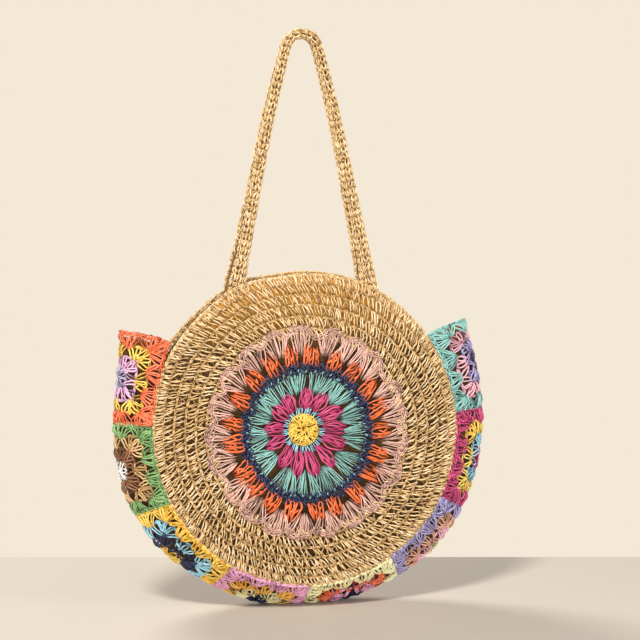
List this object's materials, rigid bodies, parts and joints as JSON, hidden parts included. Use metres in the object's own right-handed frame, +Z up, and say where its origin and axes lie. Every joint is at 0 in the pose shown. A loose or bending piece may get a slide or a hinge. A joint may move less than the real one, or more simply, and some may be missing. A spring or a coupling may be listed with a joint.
{
  "type": "round straw shoulder bag",
  "caption": "Round crocheted straw shoulder bag with a flower medallion, a gusset of coloured granny squares, a cloth lining and long fold-down handles.",
  "frame": {"origin": "on the floor under the middle of the bag, at the resting face of the gusset", "axes": "+Z up, +X to the right seen from the front, the medallion faces -Y"},
  "size_m": [0.4012, 0.0844, 0.6119],
  "materials": {
    "brown": "crocheted paper straw",
    "cream": "crocheted paper straw",
    "dusty_pink": "crocheted paper straw",
    "golden": "crocheted paper straw",
    "golden_orange": "crocheted paper straw",
    "green": "crocheted paper straw",
    "lavender": "crocheted paper straw",
    "lavender_grey": "crocheted paper straw",
    "light_blue": "crocheted paper straw",
    "lilac": "crocheted paper straw",
    "lining": "plain woven cloth",
    "magenta": "crocheted paper straw",
    "mint": "crocheted paper straw",
    "navy": "crocheted paper straw",
    "orange": "crocheted paper straw",
    "orange_red": "crocheted paper straw",
    "orchid": "crocheted paper straw",
    "pink": "crocheted paper straw",
    "purple_grey": "crocheted paper straw",
    "salmon_tan": "crocheted paper straw",
    "straw": "crocheted paper straw",
    "tan": "crocheted paper straw",
    "teal": "crocheted paper straw",
    "white": "crocheted paper straw",
    "yellow": "crocheted paper straw"
  },
  "bodies": {
    "bag": {"front_panel": "straw", "front_edging": "straw", "front_lining": "lining", "back_panel": "straw", "back_edging": "straw", "back_lining": "lining", "medallion_centre": "yellow", "medallion_blue": "light_blue", "medallion_petal": "magenta", "medallion_teal": "teal", "medallion_navy": "navy", "medallion_orange": "orange", "medallion_pink": "dusty_pink", "square_1_round_1": "orange_red", "square_1_round_2": "yellow", "square_1_round_3": "lilac", "square_1_round_4": "lavender_grey", "square_2_round_1": "green", "square_2_round_2": "tan", "square_2_round_3": "brown", "square_2_round_4": "white", "square_3_round_1": "golden", "square_3_round_2": "light_blue", "square_3_round_3": "navy", "square_3_round_4": "yellow", "square_4_round_1": "orchid", "square_4_round_2": "golden_orange", "square_4_round_3": "cream", "square_4_round_4": "navy", "square_5_round_1": "cream", "square_5_round_2": "orange_red", "square_5_round_3": "orchid", "square_5_round_4": "navy", "square_6_round_1": "lavender", "square_6_round_2": "salmon_tan", "square_6_round_3": "pink", "square_6_round_4": "cream", "square_7_round_1": "magenta", "square_7_round_2": "yellow", "square_7_round_3": "light_blue", "square_7_round_4": "magenta", "square_8_round_1": "mint", "square_8_round_2": "pink", "square_8_round_3": "lavender", "square_8_round_4": "purple_grey", "gusset_lining": "lining", "front_handle_foot_left": "straw", "front_handle_foot_right": "straw", "back_handle_foot_left": "straw", "back_handle_foot_right": "straw"},
    "front_handle": {"front_handle": "straw"},
    "back_handle": {"back_handle": "straw"}
  },
  "joints": [
    {"name": "front_handle_fold", "type": "hinge", "parent": "bag", "child": "front_handle", "pos_m": [0, -0.01727, 0.34494], "axis": [1, 0, 0], "range_deg": [0, 170]},
    {"name": "back_handle_fold", "type": "hinge", "parent": "bag", "child": "back_handle", "pos_m": [0, 0.01727, 0.34494], "axis": [-1, 0, 0], "range_deg": [0, 170]}
  ]
}
